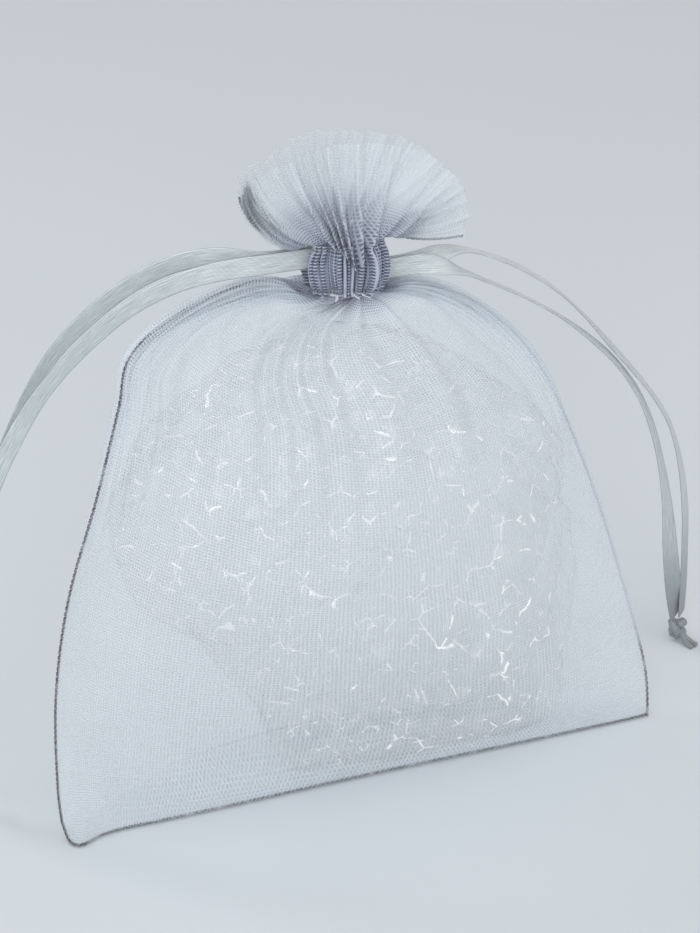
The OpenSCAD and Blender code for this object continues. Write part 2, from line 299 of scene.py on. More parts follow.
RIGHT_FRONT_STRAND = [
    [2.3, -0.5, 76.6, 0], [6.5, -0.5, 76.6, 0], [10.5, -0.7, 76.5, 20], [15.0, -1.4, 75.2, 80],
    [19.5, -0.8, 72.7, 89], [24.0, 0.4, 70.0, 88], [28.5, 1.4, 67.0, 86], [33.0, 2.4, 63.6, 82],
    [38.0, 4.0, 59.2, 77], [43.0, 6.0, 54.0, 72], [47.5, 8.0, 47.8, 65], [51.0, 10.0, 41.0, 57],
    [53.5, 11.5, 34.0, 49], [55.5, 12.8, 26.0, 34], [57.0, 14.0, 17.5, 13], [58.3, 15.0, 10.5, 6],
    [59.2, 15.8, 4.5, 39],
]
RIGHT_BACK_STRAND = [
    [2.3, 0.5, 76.6, 0], [6.5, 0.5, 76.6, 0], [10.5, 0.7, 76.8, 20], [16.0, 1.3, 77.2, 86],
    [22.0, 1.6, 74.9, 90], [27.0, 2.2, 71.9, 85], [32.0, 3.2, 67.9, 80], [37.0, 5.0, 62.8, 76],
    [41.5, 6.6, 57.6, 73], [46.0, 8.2, 52.4, 72], [50.5, 9.8, 46.8, 68], [54.5, 11.2, 40.5, 61],
    [57.5, 12.8, 32.5, 55], [59.5, 14.5, 24.0, 49], [60.3, 15.5, 16.5, 44], [60.6, 16.0, 10.5, 41],
    [60.7, 16.4, 4.5, 45],
]
KNOT_Z = 2.3


def ribbon_rings(path, roll, width, thickness, across=14):
    """Closed flat rings along a path, with a slightly raised selvedge at both edges."""
    tangent = unit(np.gradient(path, axis=0))
    upright = unit(np.cross(tangent, np.array([0.0, 1.0, 0.0])))
    level = np.cross(upright, tangent)
    roll = np.radians(roll)[:, None]
    wide = upright * np.cos(roll) + level * np.sin(roll)
    thin = np.cross(tangent, wide)
    place = np.linspace(-1, 1, across)
    half = 0.5 * thickness * (0.62 + 0.38 * smooth(np.abs(place), 0.84, 0.93))
    half[[0, -1]] *= 0.45
    x = np.r_[place, place[::-1]] * width / 2
    y = np.r_[half, -half[::-1]]
    grid = path[:, None] + wide[:, None] * x[:, None] + thin[:, None] * y[:, None]
    return grid, x


def ribbon_piece(name, path, roll, width=RIBBON_W, thickness=RIBBON_T):
    grid, x = ribbon_rings(path, roll, width, thickness)
    lengths = np.r_[0, np.cumsum(np.linalg.norm(np.diff(path, axis=0), axis=1))]
    rows, cols = grid.shape[:2]
    uv = np.stack(np.broadcast_arrays(lengths[:, None], x[None, :]), axis=-1)
    piece = grid_piece(name, grid, uv, closed=True)
    close_ends(piece, rows, cols)
    return piece


def close_ends(piece, rows, cols):
    """Fill the two open ends of a closed grid."""
    mesh = piece.data
    work = bmesh.new()
    work.from_mesh(mesh)
    work.verts.ensure_lookup_table()
    work.faces.new([work.verts[k] for k in range(cols)][::-1])
    work.faces.new([work.verts[(rows - 1) * cols + k] for k in range(cols)])
    work.to_mesh(mesh)
    work.free()


def strand(name, route, seed):
    """A ribbon strand along its route, with a little life in how it lies."""
    route = np.array(route, dtype=float)
    places = np.linspace(0, len(route) - 1, 220)
    dense = through(route, places)
    free = smooth(places, 2.5, 6) * (1 - smooth(places, 14.5, 15.8))
    wave = noise(places[:, None] / 2.1, seed)
    dense[:, 3] += 5 * free * wave
    return dense[:, :3], ribbon_piece(name, dense[:, :3], dense[:, 3])


def overhand_knot(name, at, heading):
    """A pair of ribbon ends pulled into a small knot, with two short cut tails on the floor."""
    turn = np.linspace(0, 2 * math.pi, 90, endpoint=False)
    loop = np.stack([
        np.sin(turn) + 2 * np.sin(2 * turn),
        np.cos(turn) - 2 * np.cos(2 * turn),
        -1.5 * np.sin(3 * turn),
    ], axis=1) * 0.46
    swing = np.radians(heading)
    forward = np.array([math.cos(swing), math.sin(swing), 0.0])
    sideways = np.array([-math.sin(swing), math.cos(swing), 0.0])
    upward = np.array([0.0, 0.0, 1.0])
    at = np.array(at)
    place = at + loop[:, :1] * sideways * 0.8 + loop[:, 1:2] * upward + loop[:, 2:] * forward
    tubes = [(np.vstack([place, place[:2]]), 0.62 + 0.08 * np.sin(np.arange(92) * 1.3), 10)]
    for spread in (-0.5, 0.6):
        reach = np.linspace(0, 1, 24)[:, None]
        drop = -(KNOT_Z - 0.45) * np.sin(0.5 * math.pi * reach)
        tail = at + 3.6 * reach * forward + spread * reach * sideways + drop * upward
        tubes.append((tail, 0.4, 10))
    return tubes_piece(name, tubes)


def make_ribbons():
    pieces = {}
    for side, front_route, back_route in (
        ("left", LEFT_FRONT_STRAND, LEFT_BACK_STRAND),
        ("right", RIGHT_FRONT_STRAND, RIGHT_BACK_STRAND),
    ):
        ends = (np.array(front_route[-1][:3]) + np.array(back_route[-1][:3])) / 2
        knot = overhand_knot(side + "_knot_tied", [ends[0], ends[1], KNOT_Z], -70)
        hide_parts(side + "_knot")
        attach(knot, side + "_drawstring")
        pieces[side + "_knot"] = knot
        for place, route, seed in (("front", front_route, 3), ("back", back_route, 8)):
            node = f"{side}_{place}_strand"
            path, piece = strand(node + "_satin", route, seed + len(side))
            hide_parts(node)
            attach(piece, side + "_drawstring")
            pieces[node] = piece
    return pieces


ribbons = make_ribbons()

# ---------------------------------------------------------------------------
# The cloth: two panels, each running on through the channel and the ruffle
# ---------------------------------------------------------------------------

# Shape of the standing bag, one row for each level from the floor to the neck:
# [left seam z, middle z, right seam z, left seam x, left seam y, right seam x, right seam y, front y, back y]
LEVELS = np.array([
    [0.0, 0.0, 0.0, -45.5, -4.5, 45.0, -4.5, -5.0, 13.0],
    [8.0, 8.0, 8.0, -46.0, -4.0, 45.5, -1.0, -10.5, 16.0],
    [22.0, 22.0, 22.0, -45.3, -3.0, 43.5, 5.0, -16.0, 18.0],
    [36.0, 36.0, 36.0, -42.5, -2.0, 39.5, 7.0, -18.0, 18.0],
    [50.0, 50.0, 49.0, -37.5, -1.0, 34.5, 8.0, -16.5, 16.5],
    [62.0, 60.0, 58.0, -33.6, 0.0, 29.5, 8.0, -13.5, 14.0],
    [69.0, 67.0, 65.0, -31.5, 0.5, 23.0, 6.5, -10.5, 11.0],
    [73.6, 71.5, 70.5, -24.5, 1.5, 15.5, 4.0, -8.0, 8.5],
    [76.4, 73.7, 73.4, -14.5, 1.5, 9.0, 1.8, -6.2, 6.4],
    [74.7, 74.7, 74.7, -6.7, 0.0, 4.1, 0.0, -5.4, 5.4],
])
TOP_LEVEL = len(LEVELS) - 1

# How far the folds of the neck stand out, at even steps from the left seam to the right one
FRONT_FOLDS = [0.0, 0.55, -0.2, 0.9, 0.2, -0.9, -0.75, 0.8, 0.9, -0.3, 0.5, -0.1, 0.0]
BACK_FOLDS = [0.0, -0.3, 0.7, 0.1, -0.6, 0.8, 0.3, -0.8, 0.2, 0.9, -0.5, 0.3, 0.0]

FRONT, BACK = -1, 1
SIDE_NAMES = {FRONT: "front", BACK: "back"}


def skin(level, u, side):
    """The bag's outside, with u from the left seam (0) to the right one (1)."""
    row = through(LEVELS, level)
    left_z, mid_z, right_z, left_x, left_y, right_x, right_y, front_y, back_y = np.moveaxis(row, -1, 0)
    c = np.cos(math.pi * u)
    reach = (front_y if side == FRONT else back_y) - (left_y + right_y) / 2
    x = (left_x + right_x) / 2 - (right_x - left_x) / 2 * c
    y = mix(left_y, right_y, u) + reach * np.sin(math.pi * u) ** (1.0 if side == FRONT else 1.3)
    z = mid_z + np.where(c > 0, left_z - mid_z, right_z - mid_z) * c**4
    if side == BACK:
        behind = (y - mix(left_y, right_y, u)) * (bump(u, 0, 0.17) + bump(u, 1, 0.17))
        x = x + 0.4 * behind * np.sign(c)
        z = z - 0.42 * behind * smooth(level, 4.5, 6.5)
    return np.stack([x, y, z], axis=-1)


def fold_pattern(u, side):
    """Phase of the small pleats, and height of the main folds, across one half of the neck."""
    drift = 0.9 * noise(u[..., None] * 6.3, 21 + side)
    phase = 2 * math.pi * (PLEATS * u + drift)
    folds = FRONT_FOLDS if side == FRONT else BACK_FOLDS
    main = through(np.array(folds)[:, None], u * (len(folds) - 1))[..., 0]
    return phase, main


def pleat_depth(reach):
    """Depth of the pleats that take up the whole cloth where it lies across a reach, in millimetres."""
    fullness = np.maximum(CLOTH_W / reach - 1, 0)
    steepness = np.sqrt(4 * fullness + (math.pi / 2 * fullness) ** 2)
    return reach / PLEATS / (2 * math.pi) * steepness


def grid_normal(grid):
    across = np.gradient(grid, axis=1)
    upward = np.gradient(grid, axis=0)
    return unit(np.cross(across, upward))


def along(grid):
    """Length from the first row to each point, down its own column."""
    steps = np.linalg.norm(np.diff(grid, axis=0), axis=2)
    return np.vstack([np.zeros((1, grid.shape[1])), np.cumsum(steps, axis=0)])


def row_reach(grid):
    return np.linalg.norm(np.diff(grid, axis=1), axis=2).sum(axis=1)[:, None]


def radial(grid):
    out = grid - np.array([NECK_X, 0, 0])
    out[..., 2] = 0
    return unit(out)


def seam_fade(u, width=0.025):
    """0 at both seams and 1 between them."""
    return smooth(u, 0, width) * smooth(1 - u, 0, width)


def panel_grid(side, rows=236, cols=380):
    """A panel of the bag, from the bottom seam up to the channel."""
    u = np.linspace(0, 1, cols)[None, :]
    if side == FRONT:
        level = np.linspace(0, TOP_LEVEL, rows)[:, None]
        grid = skin(*np.broadcast_arrays(level, u), side)
    else:
        level = np.linspace(0, TOP_LEVEL, rows - 40)[:, None]
        wall = skin(*np.broadcast_arrays(level, u), side)
        hem = skin(*np.broadcast_arrays(np.zeros((1, 1)), u), FRONT)[0]
        share = np.linspace(0, 1, 41)[:-1, None, None]
        ground = mix(hem[None], wall[:1], share)
        grid = np.vstack([ground, wall])
        grid[..., 2] += 0.25 * bump(np.arange(rows), 40, 6)[:, None]
    u = np.broadcast_to(u, grid.shape[:2])
    place = along(grid)
    length = place[-1:]
    below = length - place
    normal = grid_normal(grid) * -side
    near = np.exp(-below / 3)[..., None]
    direction = unit(mix(normal, radial(grid), near))
    phase, main = fold_pattern(u, side)
    drift = noise(np.stack([u * 9, below / 14], axis=-1), 5 + side) * smooth(below, 2, 30)
    phase = phase + 1.4 * drift
    depth = pleat_depth(row_reach(grid))
    fade = seam_fade(u)
    small = np.cos(phase) * depth * 0.9
    large = main * (0.55 + 0.75 * smooth(below, 0, 12)) * np.exp(-below / 20)
    swing = noise(np.stack([u * 5 + 0.02 * below, below / 26], axis=-1), 40 + side)
    slack = 0.75 * swing * smooth(below, 8, 26) * smooth(place, 1, 14)
    ripple = noise(np.stack([u * 17, below / 7], axis=-1), 60 + side)
    creases = 0.22 * ripple * smooth(below, 4, 20) * smooth(place, 0.5, 6)
    loose = (slack + creases) * seam_fade(u, 0.13)
    offset = (small + large) * fade + loose - 0.9 * near[..., 0] * fade
    grid = grid + direction * offset[..., None]
    sideways = np.sin(2 * phase) * depth * 0.16 * fade
    grid = grid + unit(np.gradient(grid, axis=1)) * sideways[..., None] * np.exp(-below / 8)[..., None]
    hem_y = -2.2 * bump(u, 0.085, 0.06) + 2.0 * bump(u, 0, 0.03) + 0.9 * smooth(u, 0.25, 0.55)
    hem_z = 2.0 * bump(u, 0, 0.025)
    low = np.exp(-grid[..., 2] / 5) * (1 if side == FRONT else smooth(-grid[..., 1], -2, 4))
    grid[..., 1] += hem_y * low
    grid[..., 2] += hem_z * low
    grid[..., 2] = np.maximum(grid[..., 2], 0.12)
    uv = np.stack([u * CLOTH_W, place / length * BAG_L], axis=-1)
    return grid, uv


def two_layers(rows, cols, turn=0.03):
    """Places down one layer and back up the other: u, the way from the fold, and the inner share."""
    u = np.linspace(0, 1, cols)[None, :]
    step = np.linspace(-1, 1, rows)[:, None]
    u, step = np.broadcast_arrays(u, step)
    return u, np.abs(step), smooth(step, -turn, turn)


def channel_grid(side, rows=104, cols=420):
    """Half of the channel: the outer layer from the top down, the hem's fold, and the inner layer back up."""
    u, t, inner = two_layers(rows, cols)
    phase, main = fold_pattern(u, side)
    phase = phase + 0.5 * noise(np.stack([u * 14, t * 2.2], axis=-1), 71 + side)
    pinch = bump(t, 0.1, 0.07) + bump(t, 0.9, 0.07)
    belly = np.sin(math.pi * t)
    depth = pleat_depth(math.pi * CHANNEL_R * 0.86)
    r = CHANNEL_R - 0.9 + main * (0.5 + 0.55 * belly) + 0.3 * belly - 0.3 * pinch
    r = r + np.cos(phase) * depth * 0.72 * (0.85 + 0.15 * belly) - HEM_GAP * inner
    lean = 0.07 * noise(np.stack([u * 4, t * 1.6], axis=-1), 77 + side) * belly
    lean = (lean + np.sin(2 * phase) * 0.035) * seam_fade(u, 0.1)
    turn = mix(SLIT, math.pi - SLIT, u) + lean
    x = NECK_X - r * np.cos(turn)
    y = side * r * np.sin(turn)
    z = CHANNEL_Z + CHANNEL_H * t
    grid = np.stack([x, y, z], axis=-1)
    uv = np.stack([u * SEEN_W, BAG_L + CHANNEL_H * t + HEM_SLIP * inner], axis=-1)
    return grid, uv


def fan_angle(u):
    """Direction of the ruffle in the plane of its fan, in degrees."""
    return 144 - 55 * u - 101 * u**2


def ruffle_grid(side, rows=128, cols=420):
    """Half of the ruffle: the outer layer up to the rim, the fold there, and the inner layer back down."""
    u, fall, inner = two_layers(rows, cols)
    s = 1 - fall
    curl = np.radians(44 * bump(u, 0, 0.24) - 16 * bump(u, 1, 0.2) + 1)
    start = np.radians(fan_angle(u)) + curl
    here = start - 2 * curl * s
    sweep = np.sin(math.pi * u)
    r = CHANNEL_R - 0.9
    rim_y = 0.45 + (2.0 if side == FRONT else 3.2) * sweep
    x = NECK_X - r * np.cos(math.pi * u) + RUFFLE_L * (np.sin(start) - np.sin(here)) / (2 * curl)
    tongue = bump(u, 0.47, 0.085) * (1 - s) ** 3 * (side == FRONT)
    y = side * mix((r + 1.6 * tongue) * sweep, rim_y, s)
    z = CHANNEL_TOP + RUFFLE_L * (np.cos(here) - np.cos(start)) / (2 * curl) - 3.1 * tongue
    grid = np.stack([x, y, z], axis=-1)
    phase, main = fold_pattern(u, side)
    phase = phase + 1.2 * s * noise(np.stack([u * 8, s * 1.5], axis=-1), 91 + side)
    half = rows // 2
    normal = grid_normal(grid[:half]) * -side
    normal = np.concatenate([normal, normal[::-1]])
    direction = unit(mix(normal, radial(grid), np.exp(-s * 6)[..., None]))
    depth = pleat_depth(row_reach(grid))
    fade = seam_fade(u)
    life = 0.9 + 0.35 * noise(np.stack([u * 7, s * 1.6], axis=-1), 33 + side)
    fine = noise(np.stack([u * 11, s * 1.2], axis=-1), 57 + side)
    wave = np.cos(phase) * life * mix(0.97, 0.62, s)
    wave = wave + np.cos(2.37 * phase + 1.7 * fine) * 0.26 * s * (1 + fine)
    offset = (wave * depth + main * mix(0.5, 1.0, s)) * fade
    grid = grid + direction * (offset - HEM_GAP * inner)[..., None]
    sideways = np.sin(2 * phase) * depth * 0.14 * fade
    grid = grid + unit(np.gradient(grid, axis=1)) * sideways[..., None]
    seen = mix(SEEN_W, 0.5 * CLOTH_W, smooth(s, 0, 0.5))
    uv = np.stack([(u - 0.5) * seen, BAG_L + CHANNEL_H + s * RUFFLE_L + HEM_SLIP * inner], axis=-1)
    return grid, uv


def mouth_blend(piece):
    """Bakes the piece's placement into its points."""
    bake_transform(piece)


def cloth_piece(name, grid, uv, side):
    piece = grid_piece(name, grid, uv, flip=side == BACK)
    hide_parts(name.replace("_cloth", ""))
    mouth_blend(piece)
    return piece


def make_cloth():
    pieces = {}
    for side in (FRONT, BACK):
        name = SIDE_NAMES[side]
        panel, panel_uv = panel_grid(side)
        channel, channel_uv = channel_grid(side)
        ruffle, ruffle_uv = ruffle_grid(side)
        pieces[name, "panel"] = cloth_piece(
            name + "_panel_cloth", panel, panel_uv, side)
        pieces[name, "channel"] = cloth_piece(
            name + "_channel_cloth", channel, channel_uv, side)
        pieces[name, "ruffle"] = cloth_piece(
            name + "_ruffle_cloth", ruffle, ruffle_uv, side)
        pieces[name, "grids"] = (panel, channel, ruffle)
    return pieces


cloth = make_cloth()

# ---------------------------------------------------------------------------
# Thread: overlocked seams and the channel's two rows of stitches
# ---------------------------------------------------------------------------


def overlock(name, node, path, radius=0.17, pitch=0.8, body=None):
    """The edge of a seam: a rolled core with threads wound over it."""
    core = resample(path, 0.5)
    tubes = [(core, radius * 0.7, 6)]
    for start in (0.0, 0.37):
        tubes.append((wound(path, radius, pitch, start), THREAD_R, 5))
    piece = tubes_piece(name, tubes)
    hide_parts(node)
    if body:
        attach(piece, body)
    else:
        mouth_blend(piece)
    return piece


def stitch_row(name, node, grid, row):
    """Short stitches that follow the pleats of the channel at one height."""
    line = resample(grid[row] + 0.12 * radial(grid[row]), 0.12)
    dash, gap = 12, 6
    tubes = []
    for start in range(0, len(line) - dash, dash + gap):
        tubes.append((line[start:start + dash], 0.07, 5))
    piece = tubes_piece(name, tubes)
    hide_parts(node)
    mouth_blend(piece)
    return piece


def make_threads():
    pieces = []
    front_panel = cloth["front", "grids"][0]
    back_ruffle = cloth["back", "grids"][2]
    pieces.append(overlock("left_side_overlock", "left_side_seam", front_panel[:-4, 0]))
    pieces.append(overlock("right_side_overlock", "right_side_seam", front_panel[:-4, -1]))
    hem = front_panel[0] + np.array([0, 0, 0.25])
    pieces.append(overlock("bottom_overlock", "bottom_seam", hem, body="pouch"))
    rise = slice(0, len(back_ruffle) // 2)
    pieces.append(overlock("left_ruffle_overlock", "left_ruffle_seam", back_ruffle[rise, 0], 0.13))
    pieces.append(overlock("right_ruffle_overlock", "right_ruffle_seam", back_ruffle[rise, -1], 0.13))
    for side in ("front", "back"):
        channel = cloth[side, "grids"][1]
        for place, row in (("upper", 5), ("lower", 46)):
            node = f"{side}_{place}_stitching"
            pieces.append(stitch_row(node + "_row", node, channel, row))
    return pieces


threads = make_threads()

# ---------------------------------------------------------------------------
# Ribbon inside the channel
# ---------------------------------------------------------------------------


def ribbon_loop(side, facing):
    """The part of a ribbon that runs round inside the gathered channel."""
    low, high = node_box(side + "_ribbon_loop")
    turn = np.radians(np.linspace(facing + 30, facing + 330, 90))
    r = 2.2
    path = np.stack([
        NECK_X + r * np.cos(turn), r * np.sin(turn), np.full(90, (low[2] + high[2]) / 2),
    ], axis=1)
    width = np.array([0.0, 0.0, 1.0])
    thin = radial(path)
    place = np.linspace(-0.5, 0.5, 12) * RIBBON_W
    half = np.full(12, RIBBON_T / 2)
    x, y = np.r_[place, place[::-1]], np.r_[half, -half[::-1]]
    grid = path[:, None] + width * x[:, None] + thin[:, None] * y[:, None]
    uv = np.stack(np.broadcast_arrays(np.degrees(turn)[:, None] / 26, x[None, :]), axis=-1)
    piece = grid_piece(side + "_ribbon_loop_satin", grid, uv, closed=True)
    close_ends(piece, *grid.shape[:2])
    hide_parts(side + "_ribbon_loop")
    mouth_blend(piece)
    return piece


ribbons["left_loop"] = ribbon_loop("left", 180)
ribbons["right_loop"] = ribbon_loop("right", 0)

# ---------------------------------------------------------------------------
# Crumpled film bag
# ---------------------------------------------------------------------------

# [z, left x, right x, front y, back y]
FILM_LEVELS = np.array([
    [3.0, -12.0, 30.0, -6.0, 2.0],
    [6.0, -14.0, 32.0, -10.0, 9.0],
    [14.0, -17.0, 32.5, -13.5, 13.0],
    [24.0, -24.0, 33.0, -15.5, 15.0],
    [34.0, -33.0, 33.0, -16.3, 15.5],
    [44.0, -36.0, 31.0, -15.6, 15.0],
    [54.0, -32.5, 27.0, -13.6, 13.0],
    [62.0, -25.0, 18.0, -10.5, 10.0],
    [67.0, -14.0, 8.0, -6.5, 6.5],
    [69.5, -5.0, 1.0, -1.5, 1.5],
])


def crumple(points, seed, sizes, depths, ways=3):
    """Sharp folds in several directions, as crushed film has."""
    chance = np.random.default_rng(seed)
    total = np.zeros(points.shape[:-1])
    for size, depth in zip(sizes, depths):
        for _ in range(ways):
            direction = unit(chance.normal(size=3))
            shift = chance.uniform(0, 10)
            bend = noise(points / (size * 1.6) + shift, seed + 5)
            t = points @ direction / size + shift + 0.75 * bend
            total += depth * (4 * np.abs(t - np.floor(t + 0.5)) - 1) / ways
    return total


def make_film(rows=230, cols=380):
    """Closed bag of crushed film, with facets of four sizes."""
    t = np.linspace(0, len(FILM_LEVELS) - 1, rows)
    row = through(FILM_LEVELS, t)
    z, left, right, front, back = (row[:, k, None] for k in range(5))
    turn = np.linspace(0, 2 * math.pi, cols, endpoint=False)[None, :]
    c, s = np.cos(turn), np.sin(turn)
    x = (left + right) / 2 + (right - left) / 2 * np.sign(c) * np.abs(c) ** 0.85
    y = (front + back) / 2 + (back - front) / 2 * np.sign(s) * np.abs(s) ** 0.85
    grid = np.stack([x, y, np.broadcast_to(z, x.shape)], axis=-1)
    closed = np.concatenate([grid, grid[:, :1]], axis=1)
    normal = grid_normal(np.concatenate([grid[:, -1:], closed], axis=1))[:, 1:-1]
    ends = smooth(t, 0, 0.8) * (1 - smooth(t, len(FILM_LEVELS) - 1.8, len(FILM_LEVELS) - 1))
    folds = crumple(grid, 4, (17, 9, 4.6, 2.4), (1.3, 0.9, 0.5, 0.24))
    grid = grid + normal * ((folds - 0.8) * mix(0.35, 1, ends)[:, None])[..., None]
    grid[..., 2] = np.clip(grid[..., 2], 1.0, None)
    points = grid.reshape(-1, 3)
    faces = grid_faces(rows, cols, True).tolist()
    faces.append([k for k in range(cols)][::-1])
    faces.append([(rows - 1) * cols + k for k in range(cols)])
    mesh = bpy.data.meshes.new("film_bag_crumpled")
    mesh.from_pydata((points * MM).tolist(), [], faces)
    piece = bpy.data.objects.new("film_bag_crumpled", mesh)
    bpy.context.scene.collection.objects.link(piece)
    mesh.shade_smooth()
    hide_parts("film_bag")
    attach(piece, "pouch")
    return piece


film = make_film()

# ---------------------------------------------------------------------------
# Materials
# ---------------------------------------------------------------------------


class Nodes:
    """A short way to write a material's nodes."""

    def __init__(self, name):
        self.material = bpy.data.materials.new(name)
        self.material.use_nodes = True
        self.tree = self.material.node_tree
        self.shader = self.tree.nodes["Principled BSDF"]
        self.output = self.tree.nodes["Material Output"]

    def add(self, kind, inputs=None, **settings):
        node = self.tree.nodes.new("ShaderNode" + kind)
        for key, value in settings.items():
            setattr(node, key, value)
        for key, value in (inputs or {}).items():
            if isinstance(value, bpy.types.NodeSocket):
                self.tree.links.new(value, node.inputs[key])
            else:
                node.inputs[key].default_value = value
        return node

    def math(self, operation, a, b=None, clamp=False):
        node = self.add("Math", operation=operation, use_clamp=clamp)
        for index, value in enumerate((a, b)):
            if value is None:
                continue
            if isinstance(value, bpy.types.NodeSocket):
                self.tree.links.new(value, node.inputs[index])
            else:
                node.inputs[index].default_value = value
        return node.outputs[0]

    def ramp(self, value, from_low, from_high, to_low, to_high, kind="SMOOTHSTEP"):
        node = self.add("MapRange", {
            "Value": value, "From Min": from_low, "From Max": from_high,
            "To Min": to_low, "To Max": to_high,
        }, interpolation_type=kind)
        return node.outputs["Result"]

    def colours(self, value, low, high):
        node = self.add("Mix", data_type="RGBA")
        self.tree.links.new(value, node.inputs["Factor"])
        for socket, colour in ((node.inputs[6], low), (node.inputs[7], high)):
            socket.default_value = (*colour, 1)
        return node.outputs[2]

    def blend(self, value, low, high):
        """Colour between two colours or sockets."""
        node = self.add("Mix", data_type="RGBA")
        for index, entry in ((0, value), (6, low), (7, high)):
            if isinstance(entry, bpy.types.NodeSocket):
                self.tree.links.new(entry, node.inputs[index])
            else:
                node.inputs[index].default_value = entry
        return node.outputs[2]

    def set(self, **values):
        for key, value in values.items():
            socket = self.shader.inputs[key.replace("_", " ")]
            if isinstance(value, bpy.types.NodeSocket):
                self.tree.links.new(value, socket)
            else:
                socket.default_value = value


# Two tones that the organza's threads drift between
PALE_LOW, PALE_HIGH = (0.80, 0.86, 0.92), (0.85, 0.91, 0.97)
# Painted shade: the gathered neck's threads are darkened, and the gaps between them made dark blue, to stand
# in for the shade among its close layers.
SHADED_NECK_THREAD = (0.50, 0.54, 0.64, 1)  # thread of the gathered neck
OPEN_GAP = (0.70, 0.75, 0.84, 1)  # between the threads of the open cloth
SHADED_NECK_GAP = (0.10, 0.115, 0.19, 1)  # between the threads of the gathered neck
THREAD_COVER = 0.40  # share of the pitch that a thread covers
THREAD_PITCH = 0.44  # distance between neighbouring threads of the organza, in millimetres


def threads_across(nodes, coordinate, cover, seed):
    """Mask of a set of parallel threads, 1 on a thread and 0 between two."""
    count = nodes.math("DIVIDE", coordinate, THREAD_PITCH)
    number = nodes.math("FLOOR", nodes.math("ADD", count, seed))
    own = nodes.add("TexWhiteNoise", {"W": number}, noise_dimensions="1D").outputs["Value"]
    place = nodes.math("ABSOLUTE", nodes.math("SUBTRACT", nodes.math("FRACT", count), 0.5))
    edge = nodes.math("MULTIPLY", nodes.math("ADD", nodes.math("MULTIPLY", own, 0.4), 0.8), cover / 2)
    inner = nodes.math("MULTIPLY", edge, 0.6)
    outer = nodes.math("MULTIPLY", edge, 1.4)
    node = nodes.add("MapRange", {
        "Value": place, "From Min": inner, "From Max": outer, "To Min": 1.0, "To Max": 0.0,
    }, interpolation_type="SMOOTHSTEP")
    return node.outputs["Result"]


def organza_material():
    """Sheer plain weave; where it is gathered its layers close up, and painted shade darkens its threads and
    the gaps behind them.
    """
    nodes = Nodes("organza")
    uv = nodes.add("UVMap", uv_map="cloth").outputs["UV"]
    wander = nodes.add("TexNoise", {"Vector": uv, "Scale": 0.07, "Detail": 1.0})
    shift = nodes.add("VectorMath", {0: wander.outputs["Color"], 1: (0.5, 0.5, 0.5)},
                      operation="SUBTRACT").outputs[0]
    shift = nodes.add("VectorMath", {0: shift, "Scale": 0.8}, operation="SCALE").outputs[0]
    place = nodes.add("VectorMath", {0: uv, 1: shift}, operation="ADD").outputs[0]
    split = nodes.add("SeparateXYZ", {"Vector": place})
    warp = threads_across(nodes, split.outputs["X"], THREAD_COVER, 3.0)
    weft = threads_across(nodes, split.outputs["Y"], THREAD_COVER, 57.0)
    weave = nodes.math("MAXIMUM", warp, weft)
    height = nodes.add("SeparateXYZ", {"Vector": uv}).outputs["Y"]
    # The neck's band, which reaches a little down the shoulders, is denser cloth (more alpha) and also
    # painted shade (darker colour).
    below = nodes.ramp(height, BAG_L - 6, BAG_L + 1, 0, 1)
    above = nodes.ramp(height, BAG_L + CHANNEL_H - 1, BAG_L + CHANNEL_H + 8, 1, 0)
    gather_and_shade = nodes.math("MULTIPLY", below, above)
    cloud = nodes.add("TexNoise", {"Vector": uv, "Scale": 0.09, "Detail": 3.0}).outputs["Fac"]
    pale = nodes.colours(nodes.ramp(cloud, 0.3, 0.7, 0, 1), PALE_LOW, PALE_HIGH)
    thread = nodes.blend(gather_and_shade, pale, SHADED_NECK_THREAD)
    gap_colour = nodes.blend(gather_and_shade, OPEN_GAP, SHADED_NECK_GAP)
    colour = nodes.blend(weave, gap_colour, thread)
    gap_alpha = nodes.ramp(gather_and_shade, 0, 1, 0.02, 0.80, "LINEAR")
    thread_alpha = nodes.ramp(gather_and_shade, 0, 1, 0.38, 0.95, "LINEAR")
    sheerness = nodes.ramp(height, BAG_L + CHANNEL_H, BAG_L + CHANNEL_H + RUFFLE_L, 1, 0.62, "LINEAR")
    alpha = nodes.math("ADD", gap_alpha, nodes.math("MULTIPLY", weave, nodes.math(
        "SUBTRACT", thread_alpha, gap_alpha)))
    alpha = nodes.math("MULTIPLY", alpha, sheerness)
    bump_node = nodes.add("Bump", {"Height": weave, "Strength": 0.35, "Distance": 0.00005})
    nodes.set(Base_Color=colour, Alpha=alpha, Normal=bump_node.outputs["Normal"])
    nodes.set(Roughness=0.5, Sheen_Weight=0.2, Sheen_Roughness=0.4)
    return nodes.material


